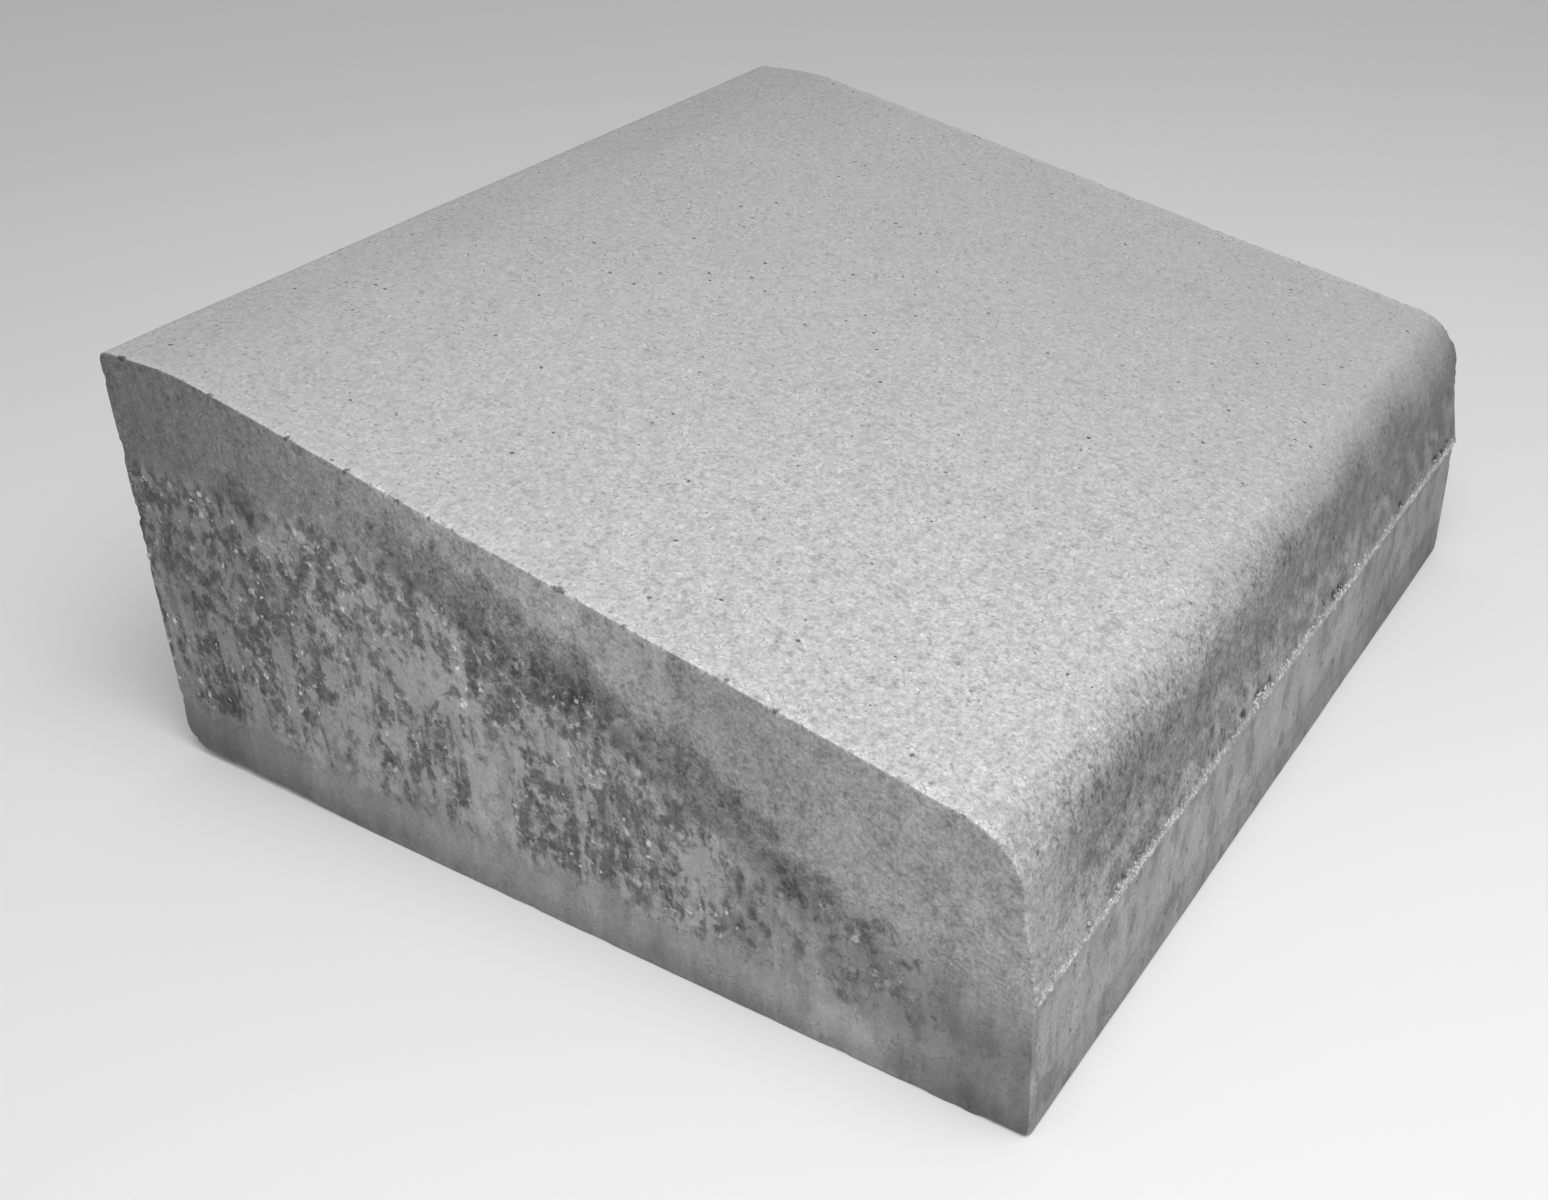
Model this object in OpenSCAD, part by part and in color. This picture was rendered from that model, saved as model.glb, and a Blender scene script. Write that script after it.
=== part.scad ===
// Precast concrete driveway kerb block: a wedge-shaped stone, laid in a row along a dropped kerb,
// whose sloping top carries wheels from the road up to the pavement.
// Two concretes are pressed into one block: a coarse backing concrete below and behind, and a fine
// face mix over the ramp, round the nose and down the road face to just under the parting lip.
// X runs along the kerb line, -Y faces the road, +Y faces the pavement and Z is up.
// The origin is the middle of the footprint, on the bed.

/* [Block] */
// Length along the kerb line, from end face to end face
block_length = 500; // [200:10:1000]
// Depth from the parting lip on the road face to the back face
block_depth = 450; // [375:5:600]
// Height from the bed to the shelf at the back
block_height = 210; // [175:1:260]

/* [Ramp] */
// Height at which the ramp's line would cross the upright plane through the lip
ramp_foot_height = 131; // [120:1:140]
// Depth of the level shelf between the ramp and the back face
shelf_depth = 45; // [25:1:80]
// Rounding where the ramp runs into the shelf
crease_radius = 120; // [20:5:160]
// Rounding of the edge between the shelf and the back face
back_arris_radius = 5; // [1:0.5:10]

/* [Road face] */
// Radius of the nose between the ramp and the road face
nose_radius = 30; // [15:1:36]
// Lean of the upper road face from the vertical, in degrees
face_batter = 9.6; // [4:0.2:12]
// Height of the parting lip above the bed
lip_height = 67; // [50:1:80]
// How far the parting lip stands out of the lower road face just under it
lip_stand_out = 1.2; // [0.4:0.2:3]
// Height of the bevel under the parting lip
lip_bevel_height = 1; // [0.4:0.2:3]

/* [Face mix] */
// Thickness of the face mix at the back face
back_cover = 48; // [35:1:55]
// Thickness of the face mix under the ramp, measured straight down
ramp_cover = 32; // [20:1:40]
// How far behind the lip the thick face mix of the nose reaches
nose_fill_depth = 190; // [150:5:230]
// Fall of the backing concrete behind the nose, in degrees from level
nose_fill_angle = 42; // [30:1:60]
// How far the face mix reaches down the road face below the lip
face_skirt = 8; // [4:1:20]
// Rounding of the bends where the two mixes meet
mix_bend_radius = 28; // [5:1:40]

/* [Hidden] */
$fn = 120;

// How far the area of the backing concrete runs on past the block's outline
overrun = 20;
// Reach of a rounding wedge from its arc's centre, in radii
wedge_reach = 2;
// How far an arc stands past the sides that it is tangent to, so that it meets each at a clean edge
tangent_overlap = 0.002;

ramp_run = block_depth - shelf_depth;
ramp_angle = atan((block_height - ramp_foot_height) / ramp_run);
// The crease's rounding ends before the back arris begins.
crease_rounding = min(crease_radius, (shelf_depth - back_arris_radius) / tan(ramp_angle / 2));

// The profile is drawn as [depth behind the lip, height above the bed].
road_foot = [0, 0];
lip_tip = [0, lip_height];
lip_root = [lip_stand_out, lip_height - lip_bevel_height];
ramp_foot = [0, ramp_foot_height];
ramp_head = [ramp_run, block_height];
back_top = [block_depth, block_height];
back_foot = [block_depth, 0];
// The sharp corner that the nose rounds off: the ramp's line against the battered road face
nose_corner = line_crossing(ramp_foot, ramp_angle, lip_tip, 90 - face_batter);

// The upper boundary of the backing concrete, front to back: a low stretch parallel to the ramp,
// a steeper rise behind the nose, a second parallel stretch close under the ramp, and a level one
skirt_foot = [0, lip_height - face_skirt];
mix_front = line_crossing(skirt_foot, ramp_angle, [-overrun, 0], 90);
mix_under_ramp = ramp_foot - [0, ramp_cover];
mix_rise_head = line_crossing(mix_under_ramp, ramp_angle, [nose_fill_depth, 0], 90);
mix_rise_foot = line_crossing(skirt_foot, ramp_angle, mix_rise_head, nose_fill_angle);
mix_back = [block_depth + overrun, block_height - back_cover];
mix_crease = line_crossing(mix_under_ramp, ramp_angle, mix_back, 0);

// Point where two lines cross, each given by a point and its angle from level.
function line_crossing(p, p_angle, q, q_angle) =
    p + run_to_line(p, p_angle, q, q_angle) * heading(p_angle);

function run_to_line(p, p_angle, q, q_angle) =
    cross(q - p, heading(q_angle)) / cross(heading(p_angle), heading(q_angle));

function heading(angle) = [cos(angle), sin(angle)];

function unit(v) = v / norm(v);

// Rounds the corner between the straight sides that run on to before and after.
// A convex corner loses its tip, and a concave one is filled.
module rounded_corner(before, corner, after, radius, convex) {
    if (convex) {
        difference() {
            children();
            corner_wedge(before, corner, after, radius);
        }
    } else {
        children();
        corner_wedge(before, corner, after, radius);
    }
}

// What lies outside a corner's arc, between the two radii that meet its sides squarely.
module corner_wedge(before, corner, after, radius) {
    to_before = unit(before - corner);
    to_after = unit(after - corner);
    half_angle = acos(to_before * to_after) / 2;
    to_centre = radius / sin(half_angle) * unit(to_before + to_after);
    tangent_run = radius / tan(half_angle);
    translate(corner + to_centre)
        difference() {
            polygon(wedge_reach * [
                [0, 0],
                tangent_run * to_before - to_centre,
                -to_centre,
                tangent_run * to_after - to_centre,
            ]);
            circle(radius + tangent_overlap);
        }
}

// Outline of the whole block, seen along the kerb line. The lower road face draws back from the
// bed up to the lip, so that the mould lifts off it.
module block_profile() {
    rounded_corner(lip_tip, nose_corner, ramp_head, nose_radius, true)
    rounded_corner(nose_corner, ramp_head, back_top, crease_rounding, true)
    rounded_corner(ramp_head, back_top, back_foot, back_arris_radius, true)
    polygon([
        road_foot,
        back_foot,
        back_top,
        ramp_head,
        nose_corner,
        lip_tip,
        lip_root,
    ]);
}

// Everything below the boundary between the two mixes, run on past the block's outline.
module backing_area() {
    rounded_corner(mix_front, mix_rise_foot, mix_rise_head, mix_bend_radius, false)
    rounded_corner(mix_rise_foot, mix_rise_head, mix_crease, mix_bend_radius, true)
    rounded_corner(mix_rise_head, mix_crease, mix_back, crease_rounding, true)
    polygon([
        [mix_front.x, -overrun],
        [mix_back.x, -overrun],
        mix_back,
        mix_crease,
        mix_rise_head,
        mix_rise_foot,
        mix_front,
    ]);
}

// Stands a profile upright and runs it along the kerb line.
module along_kerb() {
    translate([0, -block_depth / 2, 0])
        rotate([90, 0, 90])
            linear_extrude(height = block_length, center = true)
                children();
}

// Coarse backing concrete: the bed, the back face, most of the end faces and the lower road face.
module backing_concrete() {
    color([0.42, 0.42, 0.42])
        along_kerb()
            intersection() {
                block_profile();
                backing_area();
            }
}

// Fine face mix: the shelf, the ramp, the nose, the upper road face and the parting lip.
module face_mix() {
    color([0.70, 0.70, 0.70])
        along_kerb()
            difference() {
                block_profile();
                backing_area();
            }
}

backing_concrete();
face_mix();
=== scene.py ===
import math

import bpy
import numpy as np
from mathutils import Matrix, Vector, kdtree, noise
from mathutils.geometry import delaunay_2d_cdt


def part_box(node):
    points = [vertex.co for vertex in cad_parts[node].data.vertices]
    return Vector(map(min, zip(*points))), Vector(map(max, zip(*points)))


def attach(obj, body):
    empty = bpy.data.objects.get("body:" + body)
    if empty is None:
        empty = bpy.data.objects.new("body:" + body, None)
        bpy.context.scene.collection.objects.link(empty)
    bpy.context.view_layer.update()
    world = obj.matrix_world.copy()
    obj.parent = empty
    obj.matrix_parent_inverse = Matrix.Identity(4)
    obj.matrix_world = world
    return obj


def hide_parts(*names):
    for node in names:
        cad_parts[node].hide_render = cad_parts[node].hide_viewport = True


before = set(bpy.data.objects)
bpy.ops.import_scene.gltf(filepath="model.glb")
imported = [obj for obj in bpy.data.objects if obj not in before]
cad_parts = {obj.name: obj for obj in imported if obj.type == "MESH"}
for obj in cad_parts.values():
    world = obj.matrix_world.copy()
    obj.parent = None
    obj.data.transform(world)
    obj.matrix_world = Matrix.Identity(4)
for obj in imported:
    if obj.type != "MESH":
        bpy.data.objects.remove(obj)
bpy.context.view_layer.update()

# Backing concrete ---------------------------------------------------------------------------------
# The coarse mix that fills the mould first: the bed, the back, most of both ends and the lower road
# face. Both mixes are pressed together in one box, so the skin of the whole block is shaped here as
# one. Drawing it past the steel plates leaves smears of paste, torn scabs and small air holes.

MM = 0.001
block_low, block_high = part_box("backing_concrete")[0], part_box("face_mix")[1]
HALF_LENGTH, BACK = block_high.x, block_high.y
ROAD = block_low.y
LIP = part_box("face_mix")[0].z + 8 * MM
OUTLINE_STEP = 0.1 * MM
TOUCH = 0.001 * MM


def end_loop(node):
    """The outline of a node's +X end face, as (y, z) points in order round the face."""
    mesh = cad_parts[node].data
    sides = set()
    for face in mesh.polygons:
        corners = [mesh.vertices[i].co for i in face.vertices]
        if min(corner.x for corner in corners) > HALF_LENGTH - TOUCH:
            spots = [(round(corner.y, 6), round(corner.z, 6)) for corner in corners]
            sides.update(zip(spots, spots[1:] + spots[:1]))
    following = {a: b for a, b in sides if (b, a) not in sides}
    loop = [min(following)]
    while following[loop[-1]] != loop[0]:
        loop.append(following[loop[-1]])
    return loop


def resampled(points, step):
    """Points a step apart along a path, with both ends kept."""
    points = np.array(points)
    run = np.append(0, np.cumsum(np.linalg.norm(np.diff(points, axis=0), axis=1)))
    places = np.linspace(0, run[-1], round(run[-1] / step) + 1)
    return np.column_stack([np.interp(places, run, side) for side in points.T])


def graded(spacing, step):
    """Places along a row of points a step apart, as far from each other as spacing asks there."""
    count = np.append(0, np.cumsum(step / spacing[:-1]))
    wanted = np.linspace(0, count[-1], math.ceil(count[-1]) + 1)
    return np.interp(wanted, count, np.arange(len(spacing)))


def taken(points, places):
    """The points of a row at fractional places along it."""
    return np.column_stack([np.interp(places, np.arange(len(points)), side) for side in points.T])


def rise(low, high, value):
    """Rises smoothly from 0 at low to 1 at high."""
    share = np.clip((value - low) / (high - low), 0, 1)
    return share * share * (3 - 2 * share)


def clouds(places, size, octaves=1, seed=0):
    """Smooth noise from about -1 to 1 at each place, in lumps of the given size."""
    spots = (places / size + seed * 7.31).tolist()
    if octaves == 1:
        return np.array([noise.noise(spot) for spot in spots])
    return np.array([noise.fractal(spot, 1, 2, octaves) for spot in spots])


# The face mix's outline, from where its skirt meets the backing on the road face: along the seam
# between the two mixes to the back face, then over the shelf, the ramp and the nose.
face_loop = end_loop("face_mix")
meeting = min((spot for spot in face_loop if spot[0] > BACK - TOUCH), key=lambda spot: spot[1])
skirt_foot = min(
    (spot for spot in face_loop if spot[0] < ROAD + 3 * MM), key=lambda spot: spot[1]
)
start = face_loop.index(skirt_foot)
face_loop = face_loop[start:] + face_loop[:start]
turn = face_loop.index(meeting)
backing_corners = [(ROAD, 0), (BACK, 0)]
seam = resampled(face_loop[: turn + 1], OUTLINE_STEP)
backing_run = resampled([skirt_foot, *backing_corners, meeting], OUTLINE_STEP)
face_run = resampled(face_loop[turn:] + face_loop[:1], OUTLINE_STEP)
outline = np.vstack([backing_run[:-1], face_run[:-1]])
first_face_place = len(backing_run) - 1

# The upper road face is a little hollow, and the moulding softens every edge but the lip's.
FACE_HOLLOW = 0.9 * MM
hollow_share = np.clip((outline[:, 1] - LIP) / (46 * MM), 0, 1)
on_road_face = outline[:, 0] < ROAD + 9 * MM
outline[:, 0] += FACE_HOLLOW * np.sin(math.pi * hollow_share) * on_road_face
near_lip = np.hypot(outline[:, 0] - ROAD, outline[:, 1] - LIP)
softness = 0.1 + 0.75 * rise(3 * MM, 9 * MM, near_lip)
for _ in range(160):
    between = (np.roll(outline, 1, 0) + np.roll(outline, -1, 0)) / 2
    outline += (between - outline) * softness[:, None]
along = np.roll(outline, -6, 0) - np.roll(outline, 6, 0)
inward = np.column_stack([-along[:, 1], along[:, 0]])
inward /= np.linalg.norm(inward, axis=1)[:, None]
seam[0] = outline[0]
seam[-1] = outline[first_face_place]

# Rows of points run along the kerb from each place on the outline, close together at the edges.
row_spacing = np.where(outline[:, 1] < 3 * MM, 5 * MM, 2.0 * MM)
for corner_y, corner_z, closest, spread in (
    (ROAD, 0, 0.5, 0.25),
    (BACK, 0, 0.5, 0.25),
    (BACK, block_high.z, 0.7, 0.2),
    (ROAD, LIP, 0.35, 0.12),
    (ROAD + 8 * MM, LIP + 58 * MM, 1.2, 0.02),
):
    away = np.hypot(outline[:, 0] - corner_y, outline[:, 1] - corner_z)
    row_spacing = np.minimum(row_spacing, closest * MM + spread * away)
backing_places = graded(row_spacing[: first_face_place + 1], OUTLINE_STEP)
face_places = first_face_place + graded(
    np.append(row_spacing[first_face_place:], row_spacing[0]), OUTLINE_STEP
)
places = np.append(backing_places, face_places[1:-1])
rows = taken(outline, places)
row_inward = taken(inward, places)
row_inward /= np.linalg.norm(row_inward, axis=1)[:, None]
FACE_ROW = len(backing_places) - 1
ROWS = len(rows)

x_line = np.linspace(-HALF_LENGTH, HALF_LENGTH, 5001)
x_step = x_line[1] - x_line[0]
to_near, to_far = x_line + HALF_LENGTH, HALF_LENGTH - x_line
x_spacing = np.minimum(2.5 * MM, 0.4 * MM + 0.2 * to_near)
x_spacing = np.minimum(x_spacing, 0.6 * MM + 0.3 * to_far)
columns = np.interp(graded(x_spacing, x_step), np.arange(len(x_line)), x_line)
COLUMNS = len(columns)

outline_tree = kdtree.KDTree(len(outline))
for place, (y, z) in enumerate(outline.tolist()):
    outline_tree.insert((y, z, 0), place)
outline_tree.balance()
seam_tree = kdtree.KDTree(len(seam))
for place, (y, z) in enumerate(seam.tolist()):
    seam_tree.insert((y, z, 0), place)
seam_tree.balance()


def nearest(tree, points):
    """For each point, the place along a line's own points that is nearest to it, and how far."""
    found = [tree.find((y, z, 0)) for y, z in points.tolist()]
    return np.array([hit[1] for hit in found]), np.array([hit[2] for hit in found])


from_seam_end = np.minimum(np.arange(len(seam)), np.arange(len(seam))[::-1]) * OUTLINE_STEP
seam_spacing = np.minimum(1.8 * MM, 0.4 * MM + 0.3 * from_seam_end)
seam_inner = taken(seam, graded(seam_spacing, OUTLINE_STEP))[1:-1]
seam_chain = [0, *range(ROWS, ROWS + len(seam_inner)), FACE_ROW]


def end_face(spacing, seed):
    """Points inside an end face, and its triangles, with the rows' ends numbered first."""
    rings = [rows + row_inward * inset * MM for inset in (0.4, 0.9, 1.6, 2.6)]
    random = np.random.default_rng(seed)
    y_grid, z_grid = np.meshgrid(
        np.arange(ROAD, BACK, spacing), np.arange(0, block_high.z, spacing * 0.87)
    )
    y_grid[1::2] += spacing / 2
    middle = np.column_stack([y_grid.ravel(), z_grid.ravel()])
    middle += random.uniform(-0.22, 0.22, middle.shape) * spacing
    loose = np.vstack([*rings, middle])
    least_inset = np.append(np.repeat([0.3, 0.75, 1.4, 2.3], ROWS), np.full(len(middle), 3.4)) * MM
    place, away = nearest(outline_tree, loose)
    within = ((loose - outline[place]) * inward[place]).sum(1) > least_inset
    _, from_seam = nearest(seam_tree, loose)
    clear = from_seam > np.minimum(0.3 * MM + 0.2 * least_inset, 0.5 * spacing)
    loose = loose[within & (away > least_inset) & clear]
    points = np.vstack([rows, seam_inner, loose])
    edges = [(i, (i + 1) % ROWS) for i in range(ROWS)] + list(zip(seam_chain, seam_chain[1:]))
    out = delaunay_2d_cdt([Vector(p) for p in points.tolist()], edges, [], 1, 1e-9)
    original = [kept[0] for kept in out[3]]
    triangles = np.array([[original[i] for i in face] for face in out[2]])
    return points[ROWS:], triangles


inner_near, near_triangles = end_face(1.6 * MM, 3)
inner_far, far_triangles = end_face(2.2 * MM, 4)
sweep = np.arange(ROWS * COLUMNS).reshape(ROWS, COLUMNS)
after = np.roll(sweep, -1, 0)
quads = np.stack([sweep[:, :-1], after[:, :-1], after[:, 1:], sweep[:, 1:]], axis=-1)
near_number = np.append(sweep[:, 0], ROWS * COLUMNS + np.arange(len(inner_near)))
far_number = np.append(
    sweep[:, -1], ROWS * COLUMNS + len(inner_near) + np.arange(len(inner_far))
)
near_faces = near_number[near_triangles][:, ::-1]
far_faces = far_number[far_triangles]
outline_spot = np.vstack([np.repeat(rows, COLUMNS, 0), inner_near, inner_far])
x = np.concatenate([
    np.tile(columns, ROWS),
    np.full(len(inner_near), -HALF_LENGTH),
    np.full(len(inner_far), HALF_LENGTH),
])
flat = np.column_stack([x, outline_spot])
place, _ = nearest(outline_tree, outline_spot)
edge_spot = outline[place]
edge_inward = inward[place]
edge_spot[: ROWS * COLUMNS] = outline_spot[: ROWS * COLUMNS]
edge_inward[: ROWS * COLUMNS] = np.repeat(row_inward, COLUMNS, 0)
from_outline = ((outline_spot - edge_spot) * edge_inward).sum(1)
from_end = HALF_LENGTH - abs(x)
depth = flat[:, 1] - ROAD
height = flat[:, 2]

# Every end edge is knocked round: a fine round as it leaves the mould, and small chips.
edge_place = np.column_stack([np.sign(x) * 0.3, edge_spot])
wear = clouds(edge_place, 14 * MM, 2, seed=1)
chips = rise(0.05, 0.45, clouds(edge_place, 6 * MM, 3, seed=2)) * rise(-0.35, 0.25, wear)
nicks = rise(0.12, 0.4, clouds(edge_place, 3 * MM, 4, seed=40)) * rise(0.0, 0.35, wear)
foot_knock = np.exp(-((edge_spot[:, 1] / (5 * MM)) ** 2)) * (edge_spot[:, 0] < ROAD + 20 * MM)
edge_round = (0.7 + 0.3 * wear + 1.6 * chips + 0.9 * nicks + 2.4 * foot_knock) * MM
end_bite = np.clip(edge_round - from_end, 0, None)
side_bite = np.clip(edge_round - from_outline, 0, None)
bitten = (end_bite > 0) & (side_bite > 0)
pull = np.maximum(end_bite, side_bite) / np.maximum(np.hypot(end_bite, side_bite), 1e-12)
end_inset = np.where(bitten, edge_round - end_bite * pull, from_end)
side_inset = np.where(bitten, edge_round - side_bite * pull, from_outline)
shaped = flat.copy()
shaped[:, 0] = np.sign(x) * (HALF_LENGTH - end_inset)
shaped[:, 1:] += np.where(bitten, side_inset - from_outline, 0)[:, None] * edge_inward

# The back foot of one end is worn right off, and the bed lifts a little towards it.
worn_reach = (13 * rise(70, 5, (x + HALF_LENGTH) / MM) + 0.5) * MM
back_bite = np.clip(worn_reach - (BACK - shaped[:, 1]), 0, None)
foot_bite = np.clip(worn_reach - shaped[:, 2], 0, None)
both = (back_bite > 0) & (foot_bite > 0)
pull = np.maximum(back_bite, foot_bite) / np.maximum(np.hypot(back_bite, foot_bite), 1e-12)
shaped[:, 1] += np.where(both, back_bite * (pull - 1), 0)
shaped[:, 2] += np.where(both, foot_bite * (1 - pull), 0)
lift = rise(320, 405, depth / MM) * rise(60, 5, (x + HALF_LENGTH) / MM) * rise(40, 0, height / MM)
shaped[:, 2] += 4 * MM * lift


def facing(points, rings):
    """Each point's outward direction, from the faces round it."""
    normals = np.zeros_like(points)
    for corners in rings:
        a, b, c = (points[corners[:, i]] for i in (0, 1, 2))
        across = np.cross(b - a, c - a)
        if corners.shape[1] == 4:
            across += np.cross(c - a, points[corners[:, 3]] - a)
        for i in range(corners.shape[1]):
            np.add.at(normals, corners[:, i], across)
    return normals / np.maximum(np.linalg.norm(normals, axis=1), 1e-15)[:, None]


outward = facing(shaped, [quads.reshape(-1, 4), near_faces, far_faces])
seam_height = np.interp(flat[:, 1], seam[:, 0], seam[:, 1])
_, from_seam = nearest(seam_tree, flat[:, 1:])
above_seam = np.where(flat[:, 2] > seam_height, from_seam, -from_seam) / MM
depth_mm, height_mm = depth / MM, height / MM
along_mm = (x + HALF_LENGTH) / MM
end_side = rise(0.3, 0.9, abs(outward[:, 0]))
road_side = rise(0.3, 0.9, -outward[:, 1]) * (1 - end_side)
back_side = rise(0.3, 0.9, outward[:, 1]) * (1 - end_side)
top_side = rise(0.05, 0.6, outward[:, 2]) * (1 - end_side)

# Torn scabs and drawn paste show where the coarse mix meets the plates, fading out low on the
# block and towards the road, where the paste is rich. On one end some places are more torn than
# the rest, or less: depth behind the lip, height, half run and half rise in mm, and how much.
TORN_PLACES = (
    (188, 54, 24, 20, 0.42),
    (298, 76, 24, 22, 0.24),
    (268, 62, 12, 24, 0.3),
    (225, 118, 34, 16, 0.2),
    (128, 36, 16, 10, 0.5),
    (372, 118, 20, 24, 0.15),
    (140, 68, 26, 16, -0.4),
    (100, 70, 34, 15, 0.45),
    (66, 50, 24, 12, 0.35),
    (253, 52, 9, 26, -0.6),
    (326, 50, 8, 24, -0.6),
    (290, 98, 18, 12, -0.6),
    (360, 150, 22, 10, -0.4),
)
drawn = flat * np.array([1, 1, 0.42])
rough_zone = rise(16, 42, height_mm) * rise(45, 150, depth_mm) * rise(4, -12, above_seam)
rough_zone *= np.maximum(end_side, 0.6 * back_side)
torn = 0.60 + 0.22 * clouds(drawn, 22 * MM, 2, seed=5) + 0.12 * clouds(flat, 60 * MM, 1, seed=6)
smear = 0.55 + 0.6 * clouds(drawn, 14 * MM, 2, seed=8)
for place_depth, place_height, half_run, half_rise, extra in TORN_PLACES:
    reach = np.hypot((depth_mm - place_depth) / half_run, (height_mm - place_height) / half_rise)
    more = extra * np.exp(-(reach**2)) * (x < 0)
    torn += more
    smear -= 1.2 * more
spotted = rise(150, 110, depth_mm) * rise(20, 45, depth_mm) * rise(22, 34, height_mm)
spotted *= rise(18, -6, above_seam) * end_side
torn -= 0.12 * spotted
torn = np.clip(torn, 0, 1) * np.maximum(rough_zone, 0.66 * spotted)
smear = np.clip(smear, 0, 1) * rough_zone
low_clouds = clouds(flat, 45 * MM, 2, seed=9)
ragged = clouds(flat, 9 * MM, 3, seed=10)

# Water darkens the seam between the mixes in patches, and the road face under the nose. The
# patches of one end follow the ramp's slope: depth behind the lip, height, half run, half rise
# and strength.
DAMP_PLACES = (
    (225, 138, 66, 18, 1.8),
    (148, 106, 38, 17, 1.6),
    (104, 80, 36, 15, 0.9),
    (372, 156, 18, 11, 1.0),
)
PATCH_SLOPE = 0.35
seam_patches = rise(0.0, 0.5, clouds(flat, 55 * MM, 2, seed=14)) * rise(14, 4, abs(above_seam + 4))
stain = seam_patches * end_side * rise(390, 330, depth_mm) * rise(120, 165, depth_mm)
for place_depth, place_height, half_run, half_rise, strength in DAMP_PLACES:
    past_middle = depth_mm - place_depth
    above_middle = height_mm - place_height - PATCH_SLOPE * past_middle
    reach = np.hypot(past_middle / half_run, above_middle / half_rise)
    patch = strength * rise(1.7, 0.0, reach + 0.4 * ragged) * end_side
    stain = np.maximum(stain, patch * (x < 0))
damp_height = height_mm + 5 * low_clouds + 4 * ragged
road_damp = rise(74, 96, damp_height) * rise(131, 106, damp_height)
road_damp *= rise(0, 60, along_mm + 14 * low_clouds + 8 * ragged)
road_damp *= 1 - 0.2 * rise(300, 460, along_mm)
low_damp = 0.62 * rise(67, 72, height_mm) * rise(100, 88, height_mm) * rise(10, 90, along_mm)
road_damp = np.maximum(road_damp * (0.9 + 0.5 * ragged), low_damp * (1 + 1.2 * ragged))
stain = np.maximum(stain, road_damp * (road_side + top_side) * (above_seam > 0) * (1 - end_side))

# How light each part of the skin is, before its sand and stains. Part of it is painted shade: faces
# darken away from the lamp by the near road corner.
TOP_TONE = 0.53
BAND_TONE = 0.385
BACKING_TONE = 0.315
UPPER_ROAD_TONE = 0.375
LOWER_ROAD_TONE = 0.40
LIP_TONE = 0.52
BACK_TONE = 0.33
BED_TONE = 0.30
# Painted shade: the top darkens away from the near road corner, towards the far end and the back,
# for the lamp's falloff.
tone = TOP_TONE - 0.05 * rise(60, 420, np.hypot(depth_mm, along_mm)) + 0.012 * low_clouds
tone -= 0.035 * rise(300, 430, depth_mm)
band_tone = BAND_TONE + 0.045 * np.exp(-(((depth_mm - 220) / 80) ** 2)) - 0.015 * low_clouds
# Painted shade: the face mix band on the ends darkens towards the back, away from the lamp.
band_tone -= 0.095 * rise(230, 320, depth_mm) + 0.10 * rise(310, 430, depth_mm)
band_tone -= 0.05 * np.exp(-(((depth_mm - 128) / 50) ** 2))
# Painted shade: the backing on the ends darkens towards the back, away from the lamp.
backing_tone = BACKING_TONE - 0.085 * rise(300, 430, depth_mm) + 0.04 * low_clouds
backing_tone *= 1 - 0.26 * rise(22, 2, height_mm + 4 * low_clouds)
backing_tone *= 1 - 0.13 * rise(150, 110, depth_mm) * rise(25, 50, height_mm)
middle_depths = rise(120, 170, depth_mm) * rise(330, 280, depth_mm)
backing_tone *= 1 + 0.08 * rise(32, 14, height_mm) * middle_depths
backing_tone *= 1 - 0.24 * rise(70, 20, depth_mm) * rise(60, 20, height_mm)
backing_tone *= 1 - 0.1 * rise(340, 400, depth_mm) * rise(60, 20, height_mm)
backing_tone *= 1 + 0.42 * np.exp(-(((depth_mm - 76) / 24) ** 2)) * rise(34, 14, height_mm)
towards_road = rise(170, 90, depth_mm)
below_band = rise(7 + 8 * towards_road, -11 - 14 * towards_road, above_seam + 4 * ragged)
end_tone = band_tone + (backing_tone - band_tone) * below_band
tone += (end_tone - tone) * end_side
road_tone = np.where(above_seam > 0, UPPER_ROAD_TONE, LOWER_ROAD_TONE)
road_tone -= 0.10 * rise(34, 4, height_mm)
road_tone -= 0.04 * rise(16, 20, height_mm) * rise(25, 21, height_mm)
# Painted shade: the road face darkens towards the far end, away from the lamp.
road_tone += 0.04 * low_clouds - 0.07 * rise(250, 480, along_mm)
tone += (road_tone - tone) * road_side
lip_tone = LIP_TONE + 0.2 * clouds(flat, 5 * MM, 2, seed=30)
tone += (lip_tone - tone) * road_side * np.exp(-(((height_mm - LIP / MM + 0.2) / 2.6) ** 2))
tone += (BACK_TONE + 0.04 * low_clouds - tone) * back_side
tone += (BED_TONE - tone) * rise(0.5, 0.95, -outward[:, 2])

# The skin itself, in millimetres proud of the pressed shape.
proud = 0.22 * clouds(flat, 70 * MM, 2, seed=21) * (top_side + road_side)
proud += 0.05 * clouds(flat, 6 * MM, 2, seed=22) * top_side
proud += 0.10 * clouds(flat, 16 * MM, 2, seed=23) * road_side
proud += (0.10 * clouds(flat, 9 * MM, 3, seed=24) + 0.2 * clouds(flat, 60 * MM, 1, seed=25)) * (
    end_side + back_side
)
rough_mix = rise(0.3, 0.9, torn)
proud -= 0.5 * rough_mix
proud += 0.55 * rough_mix * clouds(flat, 4 * MM, 2, seed=26)
proud += 0.25 * smear
crumble = np.exp(-(((height_mm - LIP / MM - 0.8) / 2.6) ** 2)) * road_side
crumble *= 0.12 + 0.88 * rise(-0.35, 0.35, clouds(flat, 8 * MM, 2, seed=31))
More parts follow.
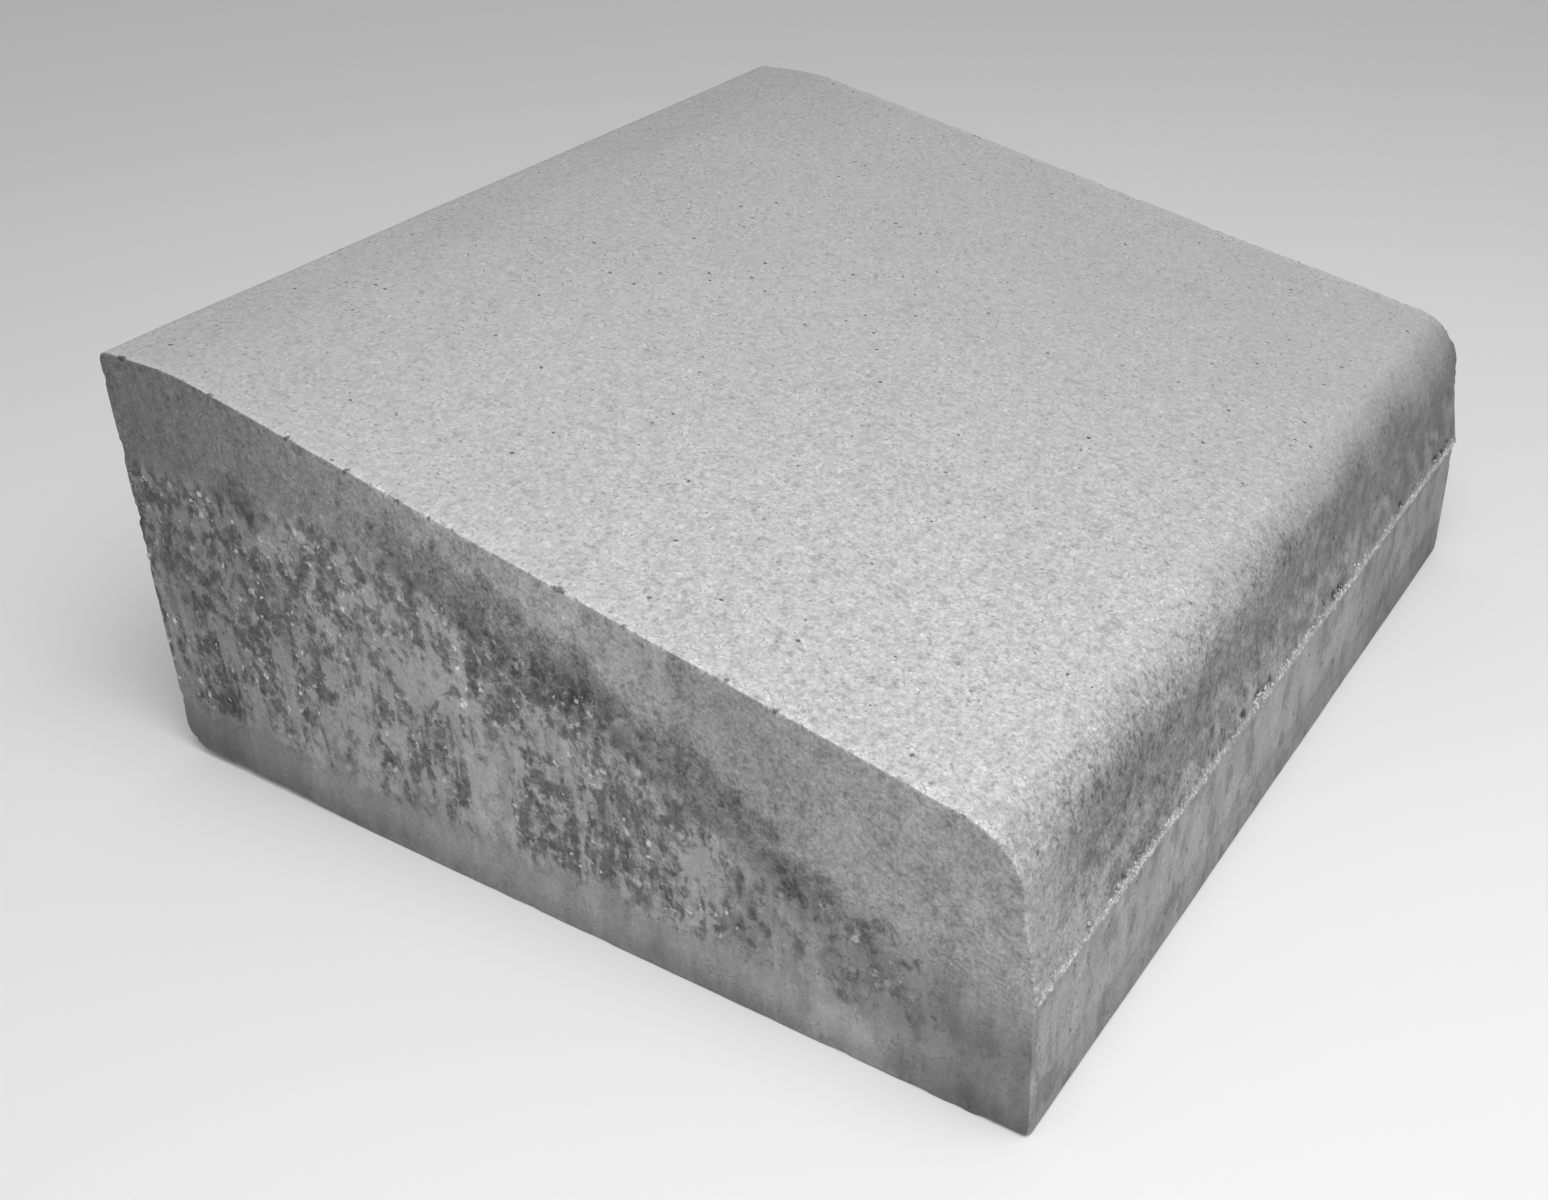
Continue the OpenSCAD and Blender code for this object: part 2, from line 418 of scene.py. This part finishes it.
proud += crumble * (0.35 * clouds(flat, 5 * MM, 2, seed=27) + 0.1)
pitting = np.exp(-(((height_mm - LIP / MM - 4.6) / 2.9) ** 2)) * road_side
pitting *= 0.15 + 0.85 * rise(-0.2, 0.3, clouds(flat, 24 * MM, 2, seed=32))
pits = rise(-0.08, 0.26, clouds(flat, 6 * MM, 3, seed=28)) * pitting
proud -= 1.1 * pits
skin = shaped + outward * (proud * MM)[:, None]


def split_by_mix(faces):
    """The faces that are backing concrete, and those that are face mix."""
    middle = flat[faces].mean(1)
    upper = middle[:, 2] > np.interp(middle[:, 1], seam[:, 0], seam[:, 1])
    return faces[~upper], faces[upper]


backing_ends, face_ends = zip(split_by_mix(near_faces), split_by_mix(far_faces))

# The sheet where the two mixes meet inside the block, seen from the backing's side.
near_seam, far_seam = near_number[seam_chain], far_number[seam_chain]
mid = COLUMNS // 2
front_row, back_row = sweep[0], sweep[FACE_ROW]
meeting_sheet = []
for k in range(1, len(near_seam) - 2):
    meeting_sheet.append((near_seam[k], far_seam[k], far_seam[k + 1]))
    meeting_sheet.append((near_seam[k], far_seam[k + 1], near_seam[k + 1]))
for j in range(COLUMNS - 1):
    ends = (near_seam, far_seam)[j >= mid]
    meeting_sheet.append((front_row[j], front_row[j + 1], ends[1]))
    meeting_sheet.append((ends[-2], back_row[j + 1], back_row[j]))
meeting_sheet.append((front_row[mid], far_seam[1], near_seam[1]))
meeting_sheet.append((near_seam[-2], far_seam[-2], back_row[mid]))
meeting_sheet = np.array(meeting_sheet)

skin_fields = {
    "tone": tone,
    "torn": torn,
    "smear": smear,
    "stain": stain,
    "drawn": np.maximum(np.maximum(end_side, back_side), road_side * (above_seam < 4)),
    "coarse": rise(480, 60, np.hypot(depth_mm, along_mm)) * (top_side + road_side)
    + 1.2 * end_side * (1 - below_band),
    "smooth": road_side * rise(6, 2, above_seam)
    + end_side * np.maximum(0.35 * rise(50, 15, height_mm), 0.7 * towards_road) * below_band,
    "barred": rough_zone * rise(110, 70, height_mm) * end_side,
    "crumble": crumble,
    "pits": pits,
    "stones": rough_zone * rise(0.35, 0.8, torn),
    # A strip of the top and road face along each end edge, painted paler: partly worn edge, partly
    # a painted highlight where the rounded arris catches the light.
    "edge": np.exp(-from_end / (2.0 * MM)) * (1 - end_side) * (above_seam > 0),
    "chipped": np.maximum(0.35 * chips, nicks)
    * np.exp(-((np.maximum(from_end, from_outline) / (1.8 * MM)) ** 2))
    * rise(95, 125, height_mm),
}


def pressed_piece(name, four_sided, three_sided, material):
    """A piece of the block's skin, closed by its side of the sheet inside."""
    used = np.unique(np.concatenate([four_sided.ravel(), three_sided.ravel()]))
    renumbered = np.zeros(len(skin), int)
    renumbered[used] = np.arange(len(used))
    mesh = bpy.data.meshes.new(name)
    faces = renumbered[four_sided].tolist() + renumbered[three_sided].tolist()
    mesh.from_pydata(skin[used].tolist(), [], faces)
    for field, values in skin_fields.items():
        attribute = mesh.attributes.new(field, "FLOAT", "POINT")
        attribute.data.foreach_set("value", values[used].astype(np.float32))
    mesh.shade_smooth()
    mesh.set_sharp_from_angle(angle=math.radians(65))
    mesh.materials.append(material)
    piece = bpy.data.objects.new(name, mesh)
    bpy.context.scene.collection.objects.link(piece)
    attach(piece, "root")
    return piece


def made(tree, kind, inputs=(), **settings):
    """A new node with its settings, and its inputs either linked or set."""
    node = tree.nodes.new(kind)
    for key, value in settings.items():
        setattr(node, key, value)
    for key, value in dict(inputs).items():
        if isinstance(value, bpy.types.NodeSocket):
            tree.links.new(value, node.inputs[key])
        else:
            node.inputs[key].default_value = value
    return node


def reckoned(tree, operation, *values):
    """The result of a Math node."""
    inputs = dict(enumerate(values))
    return made(tree, "ShaderNodeMath", inputs, operation=operation).outputs[0]


def risen(tree, low, high, value, bottom=0.0, top=1.0):
    """A smooth rise from bottom to top as value goes from low to high."""
    inputs = {"Value": value, "From Min": low, "From Max": high, "To Min": bottom, "To Max": top}
    node = made(tree, "ShaderNodeMapRange", inputs, interpolation_type="SMOOTHSTEP")
    return node.outputs["Result"]


def cloud_nodes(tree, places, size, detail, shift=(0, 0, 0), stretch=(1, 1, 1)):
    """Noise from 0 to 1 in lumps of the given size, stretched along an axis where asked."""
    scale = [1 / (size * share) for share in stretch]
    inputs = {"Vector": places, "Location": shift, "Scale": scale}
    placed = made(tree, "ShaderNodeMapping", inputs).outputs[0]
    inputs = {"Vector": placed, "Scale": 1.0, "Detail": detail, "Roughness": 0.6}
    return made(tree, "ShaderNodeTexNoise", inputs).outputs["Fac"]


def grain_nodes(tree, places, size, shift):
    """Cells of the given size: how far each place is from its cell's grain, and a chance value."""
    placed = made(tree, "ShaderNodeMapping", {"Vector": places, "Location": shift}).outputs[0]
    inputs = {"Vector": placed, "Scale": 1 / size, "Randomness": 1.0}
    cells = made(tree, "ShaderNodeTexVoronoi", inputs)
    chance = made(tree, "ShaderNodeSeparateColor", {"Color": cells.outputs["Color"]})
    return cells.outputs["Distance"], chance.outputs["Red"]


def warped(tree, places, size, reach):
    """Places pushed about by noise, so that what is drawn on them isn't regular."""
    inputs = {"Vector": places, "Scale": 1 / size, "Detail": 2}
    push = made(tree, "ShaderNodeTexNoise", inputs).outputs["Color"]
    inputs = {0: push, 1: (0.5, 0.5, 0.5)}
    push = made(tree, "ShaderNodeVectorMath", inputs, operation="SUBTRACT").outputs[0]
    inputs = {0: push, 1: (reach, reach, reach), 2: places}
    return made(tree, "ShaderNodeVectorMath", inputs, operation="MULTIPLY_ADD").outputs[0]


# The share of the light that each mark leaves: under 1 is darker, over 1 is lighter.
MARK_LIGHT = {
    "bloom": 0.72,
    "damp": 0.54,
    "paste": 1.36,
    "torn ground": 0.94,
    "scab": 0.58,
    "hollow": 0.7,
    "rim": 1.3,
    "stone": 2.1,
    "air hole": 0.38,
    "pale fleck": 1.22,
    "dark fleck": 0.7,
    "arris": 1.35,
    "scratch": 0.62,
    "chip": 0.36,
}
SKIN_RELIEF = 0.5 * MM


def concrete(name, sand_size, sand_contrast):
    """Pressed concrete: sand, air holes, pale grains, drawn paste, torn scabs and damp stains."""
    material = bpy.data.materials.new(name)
    material.use_nodes = True
    tree = material.node_tree
    shader = tree.nodes["Principled BSDF"]
    places = made(tree, "ShaderNodeTexCoord").outputs["Object"]
    field = {
        key: made(tree, "ShaderNodeAttribute", attribute_name=key).outputs["Fac"]
        for key in (
            "tone",
            "torn",
            "smear",
            "stain",
            "drawn",
            "smooth",
            "coarse",
            "barred",
            "pits",
            "edge",
            "chipped",
        )
    }

    def product(*values):
        result = values[0]
        for value in values[1:]:
            result = reckoned(tree, "MULTIPLY", result, value)
        return result

    def scaled(value, amount, share):
        """The value where amount is 0, and that share of it where amount is 1."""
        return product(value, reckoned(tree, "MULTIPLY_ADD", amount, share - 1, 1.0))

    def marked(light, amount, mark):
        """Light where amount is 0, and what the mark leaves of it where amount is 1."""
        return scaled(light, amount, MARK_LIGHT[mark])

    def centred(value, strength):
        return reckoned(tree, "MULTIPLY", reckoned(tree, "SUBTRACT", value, 0.5), strength)

    uneven = warped(tree, places, 2.5 * MM, 2.2 * MM)
    sand = cloud_nodes(tree, places, sand_size, 3)
    fine = cloud_nodes(tree, places, 0.5 * MM, 2, (7, 3, 5))
    mottle = cloud_nodes(tree, places, 8 * MM, 4, (1, 2, 3))
    streaks = cloud_nodes(tree, places, 3.5 * MM, 3, (2, 5, 1), (1, 1, 5))
    ragged_noise = cloud_nodes(tree, places, 3.2 * MM, 4, (4, 1, 8))
    clods = cloud_nodes(tree, uneven, 3.6 * MM, 3, (5, 5, 2))
    _, grain_chance = grain_nodes(tree, uneven, sand_size, (2, 7, 3))

    # Sand: a speckle of light and dark grains, over softer mottling.
    speckle = centred(sand, sand_contrast)
    for layer, contrast in ((fine, 0.4), (grain_chance, 0.12), (mottle, 0.42), (clods, 0.75)):
        speckle = reckoned(tree, "ADD", speckle, centred(layer, contrast))
    speckle = scaled(speckle, field["smooth"], 0.5)
    speckle = scaled(speckle, field["stain"], 1.5)
    speckle = product(speckle, reckoned(tree, "MULTIPLY_ADD", field["coarse"], 0.75, 0.68))
    drifts = cloud_nodes(tree, places, 14 * MM, 4, (6, 1, 2), (1, 1, 2.2))
    speckle = reckoned(tree, "ADD", speckle, product(centred(drifts, 0.75), field["drawn"]))
    speckle = reckoned(tree, "ADD", speckle, product(centred(streaks, 0.35), field["drawn"]))
    light = product(field["tone"], reckoned(tree, "ADD", speckle, 1.0))
    blooms = cloud_nodes(tree, uneven, 11 * MM, 4, (8, 8, 3), (1, 1, 1.8))
    bloom = product(risen(tree, 0.49, 0.63, blooms), field["smooth"])
    light = marked(light, bloom, "bloom")

    # Damp stains, with ragged edges.
    stain_edge = reckoned(tree, "ADD", centred(ragged_noise, 0.6), field["stain"])
    stained = risen(tree, 0.05, 1.05, stain_edge)
    stained = product(stained, reckoned(tree, "ADD", centred(mottle, -0.9), 0.9))
    light = marked(light, stained, "damp")

    # Where the coarse mix dragged on the plates, pale even paste lies between ragged dark scabs.
    swirled = warped(tree, places, 8 * MM, 7 * MM)
    dragged = cloud_nodes(tree, swirled, 6.5 * MM, 3, (9, 4, 4), (1, 1, 1.35))
    bars = cloud_nodes(tree, uneven, 8 * MM, 2, (3, 6, 2), (1, 1, 7))
    bar = product(risen(tree, 0.52, 0.62, bars), field["barred"])
    smear_edge = reckoned(tree, "MULTIPLY_ADD", field["smear"], 0.16, dragged)
    smeared = product(risen(tree, 0.5, 0.7, smear_edge), risen(tree, 0.02, 0.3, field["smear"]))
    light = marked(light, reckoned(tree, "MAXIMUM", smeared, product(bar, 0.8)), "paste")
    density = reckoned(tree, "ADD", centred(mottle, 0.3), field["torn"])
    density = reckoned(tree, "MULTIPLY_ADD", bar, -0.5, density)
    soaked = reckoned(tree, "MULTIPLY_ADD", density, 0.26, 0.315)
    crumbly = cloud_nodes(tree, uneven, 2.4 * MM, 3, (4, 9, 1))
    soaked = reckoned(tree, "ADD", soaked, centred(crumbly, 0.1))
    blot = risen(tree, -0.085, 0.1, reckoned(tree, "SUBTRACT", soaked, dragged))
    blot = product(blot, risen(tree, 0.05, 0.25, field["torn"]))

    # Craters and pocks in the scabs, and pale stones bared in them.
    def hollowed(away, chance, share):
        """Round hollows in up to that share of the cells, more of them where the skin is torn."""
        chosen = reckoned(tree, "SUBTRACT", product(density, share), chance)
        return product(risen(tree, 0.7, 0.3, away), risen(tree, 0.0, 0.3, chosen))

    crater_away, crater_chance = grain_nodes(tree, uneven, 4.6 * MM, (1, 6, 9))
    crater = hollowed(crater_away, crater_chance, 0.6)
    pock = hollowed(*grain_nodes(tree, uneven, 2.6 * MM, (6, 4, 2)), 0.5)
    hollow = reckoned(tree, "MAXIMUM", crater, pock)
    scabbed = reckoned(tree, "MAXIMUM", product(blot, 0.85), hollow)
    scab = product(blot, reckoned(tree, "ADD", centred(crumbly, 1.5), 1.0))
    light = marked(light, risen(tree, 0.1, 0.8, density), "torn ground")
    light = marked(light, scab, "scab")
    # Painted shade: craters and pocks are darkened for the shade inside them.
    light = marked(light, hollow, "hollow")
    # Paler crater rims: partly their own colour, partly a painted highlight where the rims catch
    # the light.
    rim = product(risen(tree, 0.5, 0.66, crater_away), risen(tree, 0.95, 0.75, crater_away))
    rim = product(rim, risen(tree, 0.3, 0.7, density), risen(tree, 0.5, 0.3, crater_chance))
    light = marked(light, product(rim, risen(tree, 0.45, 0.65, sand)), "rim")
    stone_away, stone_chance = grain_nodes(tree, uneven, 4.6 * MM, (3, 1, 4))
    bared = product(
        risen(tree, 0.5, 0.25, stone_away),
        risen(tree, 0.78, 0.84, stone_chance),
        risen(tree, 0.3, 0.65, density),
        risen(tree, 0.42, 0.56, clods),
    )
    light = marked(light, bared, "stone")

    # Sparse air holes, and pale and dark grains of sand that show on their own.
    hole_away, hole_chance = grain_nodes(tree, uneven, 6 * MM, (5, 9, 2))
    hole = product(risen(tree, 0.17, 0.08, hole_away), risen(tree, 0.9, 0.92, hole_chance))
    pitted = risen(tree, 0.25, 0.75, reckoned(tree, "ADD", centred(fine, 0.6), field["pits"]))
    hole = reckoned(tree, "MAXIMUM", hole, pitted)
    # Painted shade: air holes and pits are darkened for the shade inside them.
    light = marked(light, hole, "air hole")
    fleck_away, fleck_chance = grain_nodes(tree, uneven, 2.6 * MM, (8, 2, 6))
    fleck = risen(tree, 0.38, 0.2, fleck_away)
    light = marked(light, product(fleck, risen(tree, 0.9, 0.93, fleck_chance)), "pale fleck")
    light = marked(light, product(fleck, risen(tree, 0.12, 0.09, fleck_chance)), "dark fleck")
    # A paler line along the end arrises: partly worn edge, partly a painted highlight.
    light = marked(light, product(field["edge"], risen(tree, 0.4, 0.6, fine)), "arris")

    # Short dark scratches where grains have dragged, and broken edges.
    cracks = made(
        tree,
        "ShaderNodeTexVoronoi",
        {"Vector": uneven, "Scale": 1 / (4.5 * MM)},
        feature="DISTANCE_TO_EDGE",
    ).outputs["Distance"]
    scratch = product(
        risen(tree, 0.08, 0.03, cracks),
        risen(tree, 0.5, 0.6, clods),
        risen(tree, 0.47, 0.56, mottle),
        risen(tree, 0.42, 0.54, sand),
    )
    light = marked(light, scratch, "scratch")
    broken = reckoned(tree, "ADD", field["chipped"], centred(ragged_noise, 2.4))
    broken = product(risen(tree, 0.2, 0.6, broken), risen(tree, 0.05, 0.25, field["chipped"]))
    light = marked(light, broken, "chip")

    roughness = reckoned(tree, "MULTIPLY_ADD", smeared, -0.14, 0.88)
    roughness = reckoned(tree, "MULTIPLY_ADD", scabbed, 0.08, roughness)
    roughness = reckoned(tree, "MULTIPLY_ADD", speckle, 0.15, roughness)
    tree.links.new(light, shader.inputs["Base Color"])
    tree.links.new(roughness, shader.inputs["Roughness"])
    shader.inputs["Specular IOR Level"].default_value = 0.3

    # Grains stand proud, and holes, craters and pocks sink in.
    relief = product(sand, 0.45)
    for height_field, rise_share in (
        (fine, 0.25),
        (fleck, 0.2),
        (hole, -1.5),
        (scratch, -0.5),
        (clods, 0.8),
        (scabbed, -1.1),
        (bared, 1.2),
        (rim, 0.5),
        (product(scabbed, sand), 0.9),
        (smeared, 0.25),
    ):
        relief = reckoned(tree, "MULTIPLY_ADD", height_field, rise_share, relief)
    inputs = {"Height": relief, "Distance": SKIN_RELIEF, "Strength": 1.0}
    bump = made(tree, "ShaderNodeBump", inputs)
    tree.links.new(bump.outputs["Normal"], shader.inputs["Normal"])
    return material


backing = pressed_piece(
    "backing_mix_body",
    quads[:FACE_ROW].reshape(-1, 4),
    np.vstack([*backing_ends, meeting_sheet]),
    concrete("backing concrete", 1.3 * MM, 0.9),
)
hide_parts("backing_concrete")

# Face mix -----------------------------------------------------------------------------------------
# The fine mix over the ramp, round the nose and down the road face to the parting lip. It is sand
# and cement pressed on to the backing while both are green, so the two cure as one block.

face = pressed_piece(
    "face_mix_body",
    quads[FACE_ROW:].reshape(-1, 4),
    np.vstack([*face_ends, meeting_sheet[:, ::-1]]),
    concrete("face mix", 1.6 * MM, 0.7),
)
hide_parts("face_mix")

# Lip crumbs ---------------------------------------------------------------------------------------
# Crumbs of face mix left standing along the parting lip, where the two halves of the mould close
# on the green concrete and tear a ragged little ridge as they open. They are part of the face mix.


def grain_tree(name, grain_material, subdivisions):
    """Geometry nodes that strew pebbles over a skin, as thickly as one of its fields says."""
    tree = bpy.data.node_groups.new(name, "GeometryNodeTree")
    sockets = tree.interface
    sockets.new_socket("Skin", in_out="INPUT", socket_type="NodeSocketGeometry")
    sockets.new_socket("Where", in_out="INPUT", socket_type="NodeSocketString")
    sockets.new_socket("Grains per Square Metre", in_out="INPUT", socket_type="NodeSocketFloat")
    sockets.new_socket("Smallest", in_out="INPUT", socket_type="NodeSocketFloat")
    sockets.new_socket("Largest", in_out="INPUT", socket_type="NodeSocketFloat")
    sockets.new_socket("Sunk Share", in_out="INPUT", socket_type="NodeSocketFloat")
    sockets.new_socket("Seed", in_out="INPUT", socket_type="NodeSocketInt")
    sockets.new_socket("Grains", in_out="OUTPUT", socket_type="NodeSocketGeometry")
    asked = made(tree, "NodeGroupInput").outputs

    def chance(low, high, seed):
        inputs = {2: low, 3: high, "Seed": seed}
        return made(tree, "FunctionNodeRandomValue", inputs, data_type="FLOAT").outputs[1]

    inputs = {"Name": asked["Where"]}
    where = made(tree, "GeometryNodeInputNamedAttribute", inputs, data_type="FLOAT").outputs[0]
    thickness = reckoned(tree, "MULTIPLY", where, asked["Grains per Square Metre"])
    inputs = {"Mesh": asked["Skin"], "Density": thickness, "Seed": asked["Seed"]}
    spots = made(tree, "GeometryNodeDistributePointsOnFaces", inputs)
    small = reckoned(tree, "POWER", chance(0.0, 1.0, 11), 1.8)
    span = reckoned(tree, "SUBTRACT", asked["Largest"], asked["Smallest"])
    size = reckoned(tree, "MULTIPLY_ADD", small, span, asked["Smallest"])
    kept_size = made(
        tree,
        "GeometryNodeStoreNamedAttribute",
        {"Geometry": spots.outputs["Points"], "Name": "size", "Value": size},
        data_type="FLOAT",
        domain="POINT",
    ).outputs[0]
    inputs = {"Name": "size"}
    size = made(tree, "GeometryNodeInputNamedAttribute", inputs, data_type="FLOAT").outputs[0]
    bedded = reckoned(tree, "MULTIPLY", size, asked["Sunk Share"])
    depth_in = reckoned(tree, "MULTIPLY", bedded, -1.0)
    inputs = {0: spots.outputs["Normal"], "Scale": depth_in}
    inset = made(tree, "ShaderNodeVectorMath", inputs, operation="SCALE").outputs[0]
    inputs = {"Geometry": kept_size, "Offset": inset}
    sunk = made(tree, "GeometryNodeSetPosition", inputs).outputs[0]
    inputs = {"Radius": 0.5, "Subdivisions": subdivisions}
    ball = made(tree, "GeometryNodeMeshIcoSphere", inputs).outputs["Mesh"]
    lumps = made(tree, "ShaderNodeTexNoise", {"Scale": 1.7, "Detail": 1.0}).outputs["Color"]
    inputs = {0: lumps, 1: (0.5, 0.5, 0.5)}
    off = made(tree, "ShaderNodeVectorMath", inputs, operation="SUBTRACT").outputs[0]
    off = made(tree, "ShaderNodeVectorMath", {0: off, "Scale": 0.8}, operation="SCALE").outputs[0]
    pebble = made(tree, "GeometryNodeSetPosition", {"Geometry": ball, "Offset": off}).outputs[0]
    full_turn = (2 * math.pi, 2 * math.pi, 2 * math.pi)
    inputs = {0: (0, 0, 0), 1: full_turn, "Seed": 12}
    spin = made(tree, "FunctionNodeRandomValue", inputs, data_type="FLOAT_VECTOR").outputs[0]
    inputs = {0: (0.65, 0.65, 0.65), 1: (1.15, 1.15, 1.15), "Seed": 13}
    shape = made(tree, "FunctionNodeRandomValue", inputs, data_type="FLOAT_VECTOR").outputs[0]
    inputs = {0: shape, "Scale": size}
    shape = made(tree, "ShaderNodeVectorMath", inputs, operation="SCALE").outputs[0]
    inputs = {"Points": sunk, "Instance": pebble, "Rotation": spin, "Scale": shape}
    strewn = made(tree, "GeometryNodeInstanceOnPoints", inputs).outputs[0]
    toned = made(
        tree,
        "GeometryNodeStoreNamedAttribute",
        {"Geometry": strewn, "Name": "grain_tone", "Value": chance(0.0, 1.0, 14)},
        data_type="FLOAT",
        domain="INSTANCE",
    ).outputs[0]
    real = made(tree, "GeometryNodeRealizeInstances", {"Geometry": toned}).outputs[0]
    inputs = {"Geometry": real, "Material": grain_material}
    finished = made(tree, "GeometryNodeSetMaterial", inputs).outputs[0]
    made(tree, "NodeGroupOutput", {"Grains": finished})
    return tree


def strewn_grains(name, skin_piece, tree, **wanted):
    """A piece made of the grains that a tree strews over another piece's skin."""
    host = bpy.data.objects.new(name + "_host", skin_piece.data.copy())
    bpy.context.scene.collection.objects.link(host)
    modifier = host.modifiers.new("grains", "NODES")
    modifier.node_group = tree
    for item in tree.interface.items_tree:
        key = item.name.lower().replace(" ", "_")
        if key in wanted:
            modifier[item.identifier] = wanted[key]
    evaluated = host.evaluated_get(bpy.context.evaluated_depsgraph_get())
    mesh = bpy.data.meshes.new_from_object(evaluated)
    mesh.name = name
    host.modifiers.clear()
    bpy.data.objects.remove(host)
    piece = bpy.data.objects.new(name, mesh)
    bpy.context.scene.collection.objects.link(piece)
    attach(piece, "root")
    return piece


def grain_finish(name, darkest, palest):
    """Bare grains of sand and stone, each of its own tone, dusted with cement."""
    material = bpy.data.materials.new(name)
    material.use_nodes = True
    tree = material.node_tree
    shader = tree.nodes["Principled BSDF"]
    places = made(tree, "ShaderNodeTexCoord").outputs["Object"]
    own = made(tree, "ShaderNodeAttribute", attribute_name="grain_tone").outputs["Fac"]
    dust = cloud_nodes(tree, places, 0.9 * MM, 3, (3, 3, 1))
    light = reckoned(tree, "MULTIPLY_ADD", own, palest - darkest, darkest)
    dusting = reckoned(tree, "MULTIPLY_ADD", reckoned(tree, "SUBTRACT", dust, 0.5), 0.8, 1.0)
    tree.links.new(reckoned(tree, "MULTIPLY", light, dusting), shader.inputs["Base Color"])
    roughness = reckoned(tree, "MULTIPLY_ADD", dust, 0.3, 0.62)
    tree.links.new(roughness, shader.inputs["Roughness"])
    shader.inputs["Specular IOR Level"].default_value = 0.35
    bump = made(tree, "ShaderNodeBump", {"Height": dust, "Distance": 0.2 * MM, "Strength": 1.0})
    tree.links.new(bump.outputs["Normal"], shader.inputs["Normal"])
    return material


crumbs = strewn_grains(
    "lip_crumbs",
    face,
    grain_tree("lip crumbs", grain_finish("crumbed face mix", 0.26, 0.70), 1),
    where="crumble",
    grains_per_square_metre=1.5e6,
    smallest=0.8 * MM,
    largest=2.8 * MM,
    sunk_share=0.22,
    seed=5,
)

# Bared stones -------------------------------------------------------------------------------------
# Pale stones of the coarse mix that show where the ends and the back tore as the block was drawn.
# They are bedded in the backing concrete, and only their faces stand clear of it.

stones = strewn_grains(
    "bared_stones",
    backing,
    grain_tree("bared stones", grain_finish("bared stone", 0.24, 0.56), 2),
    where="stones",
    grains_per_square_metre=1.5e4,
    smallest=1.2 * MM,
    largest=4.4 * MM,
    sunk_share=0.34,
    seed=8,
)

# Floor, light and camera --------------------------------------------------------------------------
# A plain pale floor under soft studio light, with the block seen from above one road corner.

FLOOR_RADIUS = 9.0
FLOOR_SIDES = 96
FLOOR_GREY = 0.88
floor_mesh = bpy.data.meshes.new("studio_floor")
rim = [
    (FLOOR_RADIUS * math.cos(angle), FLOOR_RADIUS * math.sin(angle), 0)
    for angle in np.linspace(0, 2 * math.pi, FLOOR_SIDES, endpoint=False).tolist()
]
floor_mesh.from_pydata(rim, [], [list(range(len(rim)))])
floor_paint = bpy.data.materials.new("pale floor")
floor_paint.use_nodes = True
floor_shader = floor_paint.node_tree.nodes["Principled BSDF"]
floor_shader.inputs["Base Color"].default_value = (FLOOR_GREY, FLOOR_GREY, FLOOR_GREY, 1)
floor_shader.inputs["Roughness"].default_value = 0.9
floor_shader.inputs["Specular IOR Level"].default_value = 0.1
floor_mesh.materials.append(floor_paint)
floor = bpy.data.objects.new("studio_floor", floor_mesh)
bpy.context.scene.collection.objects.link(floor)

world = bpy.data.worlds.new("studio")
bpy.context.scene.world = world
world.use_nodes = True
sky = world.node_tree.nodes["Background"]
sky.inputs["Color"].default_value = (1, 1, 1, 1)
sky.inputs["Strength"].default_value = 0.42


def soft_light(name, position, aim, width, power):
    """A square softbox facing a point."""
    lamp = bpy.data.lights.new(name, "AREA")
    lamp.size = width
    lamp.energy = power
    holder = bpy.data.objects.new(name, lamp)
    holder.location = position
    holder.rotation_euler = (Vector(aim) - Vector(position)).to_track_quat("-Z", "Y").to_euler()
    bpy.context.scene.collection.objects.link(holder)


soft_light("overhead", position=(-0.45, -0.55, 1.25), aim=(-0.1, -0.1, 0.1), width=0.9, power=13)

CAMERA_PLACE = (-0.6683, -0.4068, 0.5142)
CAMERA_TURN, CAMERA_TILT, CAMERA_ROLL = (math.radians(a) for a in (34.52, -31.95, -1.566))
camera_data = bpy.data.cameras.new("camera")
camera_data.lens = 41.613
camera_data.sensor_width = 36
camera_data.clip_start = 0.05
camera_data.clip_end = 50
camera = bpy.data.objects.new("camera", camera_data)
ahead = Vector((
    math.cos(CAMERA_TILT) * math.cos(CAMERA_TURN),
    math.cos(CAMERA_TILT) * math.sin(CAMERA_TURN),
    math.sin(CAMERA_TILT),
))
right = ahead.cross(Vector((0, 0, 1))).normalized()
up = right.cross(ahead)
camera_right = math.cos(CAMERA_ROLL) * right + math.sin(CAMERA_ROLL) * up
camera_up = math.cos(CAMERA_ROLL) * up - math.sin(CAMERA_ROLL) * right
camera.matrix_world = Matrix((
    (camera_right.x, camera_up.x, -ahead.x, CAMERA_PLACE[0]),
    (camera_right.y, camera_up.y, -ahead.y, CAMERA_PLACE[1]),
    (camera_right.z, camera_up.z, -ahead.z, CAMERA_PLACE[2]),
    (0, 0, 0, 1),
))
bpy.context.scene.collection.objects.link(camera)
bpy.context.scene.camera = camera
bpy.context.scene.view_settings.view_transform = "Standard"
